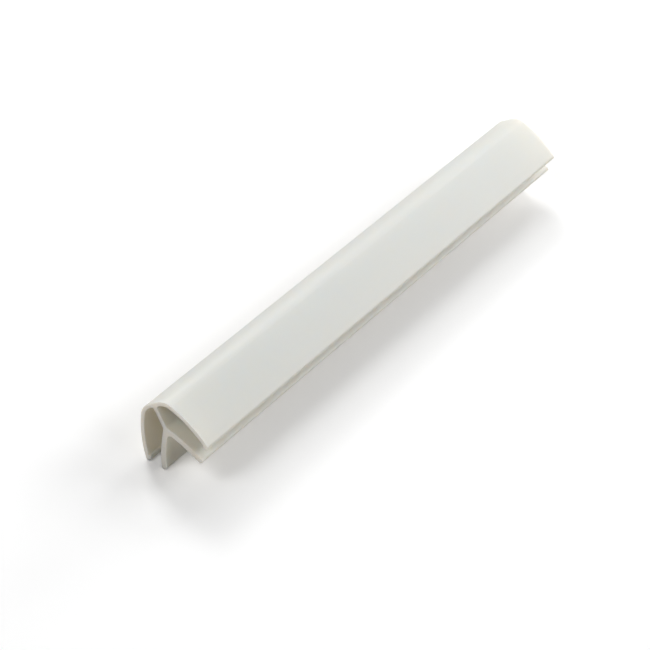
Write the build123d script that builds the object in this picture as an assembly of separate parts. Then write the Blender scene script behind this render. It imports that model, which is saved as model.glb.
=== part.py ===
from build123d import *
import math
import os

# Driving sizes in millimetres, and turns in degrees. Leg A points down and leg B
# across from the outer corner, and the halves mirror each other across the diagonal.
# Each turn is how far a wall has already bent inwards where its own curve begins.
length = 164.0
wall = 1.0
inner_wall = 1.4
slot_gap = 5.6
corner_flat = 2.7
shoulder_radius = 4.6
shoulder_turn = 8.3
outer_reach = 19.0
outer_bend_radius = 28.0
fork_turn = 3.7
inner_reach = 18.5
inner_bend_radius = 39.0
bead_diameter = 1.5
slot_root_fillet = 0.7
fork_fillet = 1.3
crotch_fillet = 1.1

# Sizes that follow from the driving ones, for leg B's half of the section.
half_wall = wall / 2
half_inner_wall = inner_wall / 2
bead_radius = bead_diameter / 2
shoulder_line_radius = shoulder_radius - half_wall
fork_depth = wall + slot_gap + half_inner_wall
fork = Vector(fork_depth, -fork_depth)
diagonal = Plane(origin=(0, 0, 0), z_dir=(1, 1, 0))
toward_fork = Vector(1, -1) / math.sqrt(2)
along_flat = Vector(1, 1) / math.sqrt(2)


def corner_crown():
    """Where the outer wall's centre line crosses the diagonal."""
    outer_depth = math.sqrt(2) * shoulder_radius - shoulder_line_radius + corner_flat / 2
    return toward_fork * outer_depth


def shoulder_centre():
    """The centre of the shoulder's arc, between the corner flat and the leg."""
    flat_end = corner_crown() + along_flat * (corner_flat / 2)
    return flat_end + toward_fork * shoulder_line_radius


def turned(angle):
    """The outward direction across leg B where its wall has turned in by an angle."""
    return Vector(0, 1).rotate(Axis.Z, -angle)


class Bend:
    """A leg's centre line: an arc that starts already turned in and ends at its reach."""

    def __init__(self, start, turn, radius, reach):
        self.radius = radius
        self.turn = turn
        self.centre = start - turned(turn) * radius
        end_turn = math.degrees(math.asin((reach - self.centre.X) / radius))
        self.angle = end_turn - turn
        self.outward = turned(end_turn)
        self.end = self.centre + self.outward * radius

    def draw(self, lead=0):
        """Add the arc to the line being built, begun some way ahead of its start."""
        extra = math.degrees(lead / self.radius)
        return CenterArc(self.centre, self.radius, 90 - self.turn + extra, -self.angle - extra)


def outer_bend():
    """Leg B's outer wall, from the shoulder to the middle of its bead."""
    start = shoulder_centre() + turned(shoulder_turn) * shoulder_line_radius
    return Bend(start, shoulder_turn, outer_bend_radius, outer_reach - bead_radius)


def inner_bend():
    """Leg B's inner wall, from the fork to the middle of its rounded tip."""
    return Bend(fork, fork_turn, inner_bend_radius, inner_reach - half_inner_wall)


def bead_centre():
    """The bead thickens the outer tip on its inner side only."""
    bend = outer_bend()
    return bend.end - bend.outward * (bead_radius - half_wall)


def leg_b():
    """Half the corner flat, a shoulder and the curved outer wall, and the inner wall."""
    with BuildSketch() as leg:
        with BuildLine():
            Line(corner_crown(), corner_crown() + along_flat * (corner_flat / 2))
            CenterArc(shoulder_centre(), shoulder_line_radius, 135, -45 - shoulder_turn)
            outer_bend().draw()
        trace(line_width=wall)
        with BuildLine():
            inner_bend().draw(lead=inner_wall / 4)
        trace(line_width=inner_wall)
        with Locations(bead_centre()):
            Circle(bead_radius)
        with Locations(inner_bend().end):
            Circle(half_inner_wall)
    return leg.sketch


def nearest(sketch, point, count):
    """The corners of the outline that lie closest to a point."""
    return sketch.vertices().sort_by_distance(point)[:count]


def section():
    """The whole channel section, with its inside corners rounded."""
    with BuildSketch() as outline:
        add(leg_b())
        mirror(outline.sketch, about=diagonal)
        with BuildLine():
            Line(corner_crown(), fork)
        trace(line_width=wall)
        fillet(nearest(outline, corner_crown() + toward_fork * half_wall, 2), slot_root_fillet)
        fillet(nearest(outline, fork - toward_fork * inner_wall, 2), fork_fillet)
        fillet(nearest(outline, fork + toward_fork * inner_wall, 1), crotch_fillet)
    return outline.sketch


def rest_angle():
    """Degrees that the section leans over when leg A's two tips both touch the floor."""
    between_tips = bead_centre() - inner_bend().end
    slope = math.atan2(between_tips.X, between_tips.Y)
    step = math.asin((bead_radius - half_inner_wall) / between_tips.length)
    return math.degrees(slope + step)


def corner_channel():
    """The extruded length, resting on leg A's two tips, centred over the origin."""
    with BuildPart() as channel:
        with BuildSketch(Plane.XZ):
            add(section().rotate(Axis.Z, -rest_angle()))
        extrude(amount=length / 2, both=True)
    box = channel.part.bounding_box()
    return Pos(-box.center().X, 0, -box.min.Z) * channel.part


if __name__ == "__main__":
    os.makedirs("parts", exist_ok=True)
    export_step(corner_channel(), "parts/corner_channel.step")
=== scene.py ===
import math

import bpy
from mathutils import Matrix, Vector


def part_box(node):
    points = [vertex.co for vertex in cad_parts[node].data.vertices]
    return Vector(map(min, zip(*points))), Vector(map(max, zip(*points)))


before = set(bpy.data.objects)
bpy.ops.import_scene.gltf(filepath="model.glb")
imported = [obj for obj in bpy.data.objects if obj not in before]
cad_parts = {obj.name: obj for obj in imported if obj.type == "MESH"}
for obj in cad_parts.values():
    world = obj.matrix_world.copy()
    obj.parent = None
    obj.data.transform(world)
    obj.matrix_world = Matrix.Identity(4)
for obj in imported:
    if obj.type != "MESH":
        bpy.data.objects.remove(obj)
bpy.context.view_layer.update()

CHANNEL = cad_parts["corner_channel"]
HALF_LENGTH = max(abs(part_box("corner_channel")[0].y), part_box("corner_channel")[1].y)

# The photograph's camera, in metres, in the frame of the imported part. The lens and the
# sensor are in millimetres.
CAMERA_PLACE = (0.23352, -0.50324, 0.42716)
CAMERA_RIGHT = (0.82387, 0.54099, 0.16902)
CAMERA_UP = (-0.45298, 0.44925, 0.77006)
CAMERA_LENS = 153.05
CAMERA_SENSOR = 36.0
CAMERA_NEAR = 0.01
CAMERA_FAR = 20.0

# The plastic: its even tone, its slightly warmer streaks, and the tone of a sawn end.
STYRENE_COLOUR = (0.775, 0.772, 0.710)
STYRENE_WARM = (0.790, 0.770, 0.695)
SAWN_COLOUR = (0.785, 0.748, 0.682)
STYRENE_ROUGHNESS = 0.46
SAWN_ROUGHNESS = 0.75
# How near an end a surface has to lie to count as sawn, in metres.
SAWN_SKIN = 0.00003
# How far light travels inside the plastic, in metres, and the share of that for each colour.
STYRENE_GLOW = 0.0034
STYRENE_GLOW_SPREAD = (1.0, 0.85, 0.70)

# Noise in waves a metre: round clouds, and lines drawn out along Y or across a sawn end.
CLOUD_SCALE = (45, 45, 45)
FLOW_SCALE = (420, 4, 420)
DIE_LINE_SCALE = (2600, 3, 2600)
SAW_MARK_SCALE = (250, 60, 5200)
SAW_MARK_TURN = 0.6
RELIEF_STRENGTH = 0.35
RELIEF_DEPTH = 0.00002

# The floor: the colour that bounces light on to the part, the colour that is seen, and the
# glow that pales the part's shadow.
FLOOR_SIZE = 6.0
FLOOR_COLOUR = (0.67, 0.62, 0.56)
FLOOR_SEEN = (1.0, 1.0, 1.0)
FLOOR_LIFT = 0.135
# Where the floor starts to turn into plain white, and where it is all white, in metres.
FLOOR_FADE = (0.45, 1.2)

# What the world shines on to the part, and how bright it is where it is seen.
SKY_STRENGTH = 0.0
SKY_SEEN = 1.0
# Each lamp: name, compass angle from +X towards +Y and height in degrees, size in metres,
# strength.
LAMPS = (
    ("lamp_left_back", 151, 37, 0.32, 0.35),
    ("lamp_between", 126, 36, 0.32, 0.05),
    ("lamp_left_high", 150, 52, 0.32, 0.08),
    ("lamp_back", 103, 36, 0.32, 0.11),
    ("lamp_back_low", 90, 12, 0.40, 0.30),
    ("lamp_right_back", 67, 28, 0.40, 0.19),
    ("lamp_right_low", 45, 28, 0.40, 0.13),
    ("lamp_right_high", 45, 45, 0.40, 0.11),
    ("lamp_right_front", 0, 45, 0.40, 0.13),
    ("lamp_front", 248, 45, 0.40, 0.28),
    ("lamp_front_low", 270, 12, 0.40, 0.13),
)
LAMP_DISTANCE = 1.2


def link(tree, source, output, target, entry):
    """Join two nodes of a material."""
    tree.links.new(source.outputs[output], target.inputs[entry])


def add_node(tree, kind, **settings):
    """Add a node and give its properties their values."""
    node = tree.nodes.new(kind)
    for name, value in settings.items():
        setattr(node, name, value)
    return node


def noise(tree, place, scale, detail, turn=0.0):
    """Noise with its own scale along each axis. Unequal scales draw it out into lines."""
    stretched = add_node(tree, "ShaderNodeMapping")
    stretched.inputs["Rotation"].default_value = (0, turn, 0)
    stretched.inputs["Scale"].default_value = scale
    link(tree, place, "Object", stretched, "Vector")
    pattern = add_node(tree, "ShaderNodeTexNoise")
    pattern.inputs["Scale"].default_value = 1.0
    pattern.inputs["Detail"].default_value = detail
    link(tree, stretched, "Vector", pattern, "Vector")
    return pattern.outputs["Fac"]


def sawn_end_mask(tree, place):
    """One on the two sawn ends and nought along the drawn surfaces."""
    split = add_node(tree, "ShaderNodeSeparateXYZ")
    link(tree, place, "Object", split, "Vector")
    reach = add_node(tree, "ShaderNodeMath", operation="ABSOLUTE")
    link(tree, split, "Y", reach, 0)
    mask = add_node(tree, "ShaderNodeMath", operation="GREATER_THAN")
    mask.inputs[1].default_value = HALF_LENGTH - SAWN_SKIN
    link(tree, reach, 0, mask, 0)
    return mask.outputs[0]


def blend(tree, kind, entries, factor, first, second):
    """A node that mixes two things, each a fixed one or a node's output."""
    mix = add_node(tree, "ShaderNodeMix", data_type=kind)
    tree.links.new(factor, mix.inputs["Factor"])
    for entry, source in zip(entries, (first, second)):
        if isinstance(source, bpy.types.NodeSocket):
            tree.links.new(source, mix.inputs[entry])
        else:
            mix.inputs[entry].default_value = source
    return mix


def blend_colours(tree, factor, first, second):
    """A colour between two others."""
    fixed = [(*colour, 1) if isinstance(colour, tuple) else colour for colour in (first, second)]
    return blend(tree, "RGBA", (6, 7), factor, *fixed).outputs[2]


def blend_values(tree, factor, first, second):
    """A value between two others."""
    return blend(tree, "FLOAT", (2, 3), factor, first, second).outputs[0]


def styrene_finish():
    """Off-white satin styrene: lines drawn along the extrusion and saw marks on the ends."""
    material = bpy.data.materials.new("satin_styrene")
    material.use_nodes = True
    tree = material.node_tree
    plastic = tree.nodes["Principled BSDF"]
    plastic.inputs["Subsurface Weight"].default_value = 1.0
    plastic.inputs["Subsurface Radius"].default_value = STYRENE_GLOW_SPREAD
    plastic.inputs["Subsurface Scale"].default_value = STYRENE_GLOW
    place = add_node(tree, "ShaderNodeTexCoord")
    sawn = sawn_end_mask(tree, place)

    cloud = noise(tree, place, CLOUD_SCALE, 3.0)
    flow = noise(tree, place, FLOW_SCALE, 3.0)
    warmth = add_node(tree, "ShaderNodeMath", operation="MULTIPLY")
    tree.links.new(cloud, warmth.inputs[0])
    tree.links.new(flow, warmth.inputs[1])
    drawn = blend_colours(tree, warmth.outputs[0], STYRENE_COLOUR, STYRENE_WARM)
    tree.links.new(blend_colours(tree, sawn, drawn, SAWN_COLOUR), plastic.inputs["Base Color"])

    rough = blend_values(tree, sawn, STYRENE_ROUGHNESS, SAWN_ROUGHNESS)
    tree.links.new(rough, plastic.inputs["Roughness"])
    die_lines = noise(tree, place, DIE_LINE_SCALE, 2.0)
    saw_marks = noise(tree, place, SAW_MARK_SCALE, 3.0, turn=SAW_MARK_TURN)
    relief = add_node(tree, "ShaderNodeBump")
    relief.inputs["Strength"].default_value = RELIEF_STRENGTH
    relief.inputs["Distance"].default_value = RELIEF_DEPTH
    tree.links.new(blend_values(tree, sawn, die_lines, saw_marks), relief.inputs["Height"])
    link(tree, relief, "Normal", plastic, "Normal")
    return material


def seen_mask(tree):
    """One where the camera, a reflection or a refraction looks, and nought for other light."""
    ray = add_node(tree, "ShaderNodeLightPath")
    direct = add_node(tree, "ShaderNodeMath", operation="ADD")
    link(tree, ray, "Is Camera Ray", direct, 0)
    link(tree, ray, "Is Glossy Ray", direct, 1)
    seen = add_node(tree, "ShaderNodeMath", operation="ADD", use_clamp=True)
    link(tree, direct, 0, seen, 0)
    link(tree, ray, "Is Transmission Ray", seen, 1)
    return seen.outputs[0]


def floor_glow(tree):
    """A small glow near the part, which rises to plain white far away from it."""
    place = add_node(tree, "ShaderNodeTexCoord")
    away = add_node(tree, "ShaderNodeVectorMath", operation="LENGTH")
    link(tree, place, "Object", away, "Vector")
    glow = add_node(tree, "ShaderNodeMapRange")
    glow.inputs["From Min"].default_value, glow.inputs["From Max"].default_value = FLOOR_FADE
    glow.inputs["To Min"].default_value = FLOOR_LIFT
    glow.inputs["To Max"].default_value = 1.0
    link(tree, away, "Value", glow, "Value")
    return glow.outputs["Result"]


def floor_finish():
    """A white floor that keeps the part's shadow and bounces a dimmer light on to the part."""
    material = bpy.data.materials.new("white_floor")
    material.use_nodes = True
    tree = material.node_tree
    paper = tree.nodes["Principled BSDF"]
    paper.inputs["Roughness"].default_value = 1.0
    paper.inputs["Specular IOR Level"].default_value = 0.0
    paper.inputs["Emission Color"].default_value = (1, 1, 1, 1)
    seen = seen_mask(tree)
    colour = blend_colours(tree, seen, FLOOR_COLOUR, FLOOR_SEEN)
    tree.links.new(colour, paper.inputs["Base Color"])
    lift = add_node(tree, "ShaderNodeMath", operation="MULTIPLY")
    tree.links.new(floor_glow(tree), lift.inputs[0])
    tree.links.new(seen, lift.inputs[1])
    link(tree, lift, 0, paper, "Emission Strength")
    return material


def white_floor():
    """A large plain floor under the part."""
    bpy.ops.object.select_all(action="DESELECT")
    bpy.ops.mesh.primitive_plane_add(size=FLOOR_SIZE, location=(0, 0, 0))
    floor = bpy.context.object
    floor.name = "floor"
    floor.data.materials.append(floor_finish())


def studio_sky():
    """Plain white past the floor and in reflections. The lamps alone light the part."""
    world = bpy.data.worlds.new("studio")
    bpy.context.scene.world = world
    world.use_nodes = True
    tree = world.node_tree
    sky = tree.nodes["Background"]
    sky.inputs["Color"].default_value = (1, 1, 1, 1)
    level = add_node(tree, "ShaderNodeMapRange")
    level.inputs["To Min"].default_value = SKY_STRENGTH
    level.inputs["To Max"].default_value = SKY_SEEN
    tree.links.new(seen_mask(tree), level.inputs["Value"])
    link(tree, level, "Result", sky, "Strength")


def lamp(name, compass, height, size, strength):
    """A soft square lamp. White that faces it in the middle renders at its strength."""
    compass, height = math.radians(compass), math.radians(height)
    level = math.cos(height)
    way = Vector((level * math.cos(compass), level * math.sin(compass), math.sin(height)))
    light = bpy.data.lights.new(name, "AREA")
    light.shape = "SQUARE"
    light.size = size
    light.energy = strength * math.pi ** 2 * LAMP_DISTANCE ** 2
    piece = bpy.data.objects.new(name, light)
    bpy.context.scene.collection.objects.link(piece)
    piece.location = way * LAMP_DISTANCE
    piece.rotation_mode = "QUATERNION"
    piece.rotation_quaternion = way.to_track_quat("Z", "Y")


def photo_camera():
    """The camera, placed and turned as for the photograph."""
    lens = bpy.data.cameras.new("photo_camera")
    lens.sensor_width = CAMERA_SENSOR
    lens.lens = CAMERA_LENS
    lens.clip_start = CAMERA_NEAR
    lens.clip_end = CAMERA_FAR
    camera = bpy.data.objects.new("photo_camera", lens)
    bpy.context.scene.collection.objects.link(camera)
    right = Vector(CAMERA_RIGHT).normalized()
    back = right.cross(Vector(CAMERA_UP)).normalized()
    up = back.cross(right)
    turn = Matrix((right, up, back)).transposed().to_4x4()
    camera.matrix_world = Matrix.Translation(CAMERA_PLACE) @ turn
    bpy.context.scene.camera = camera


CHANNEL.data.materials.clear()
CHANNEL.data.materials.append(styrene_finish())
white_floor()
studio_sky()
for settings in LAMPS:
    lamp(*settings)
photo_camera()
bpy.context.scene.view_settings.view_transform = "Standard"
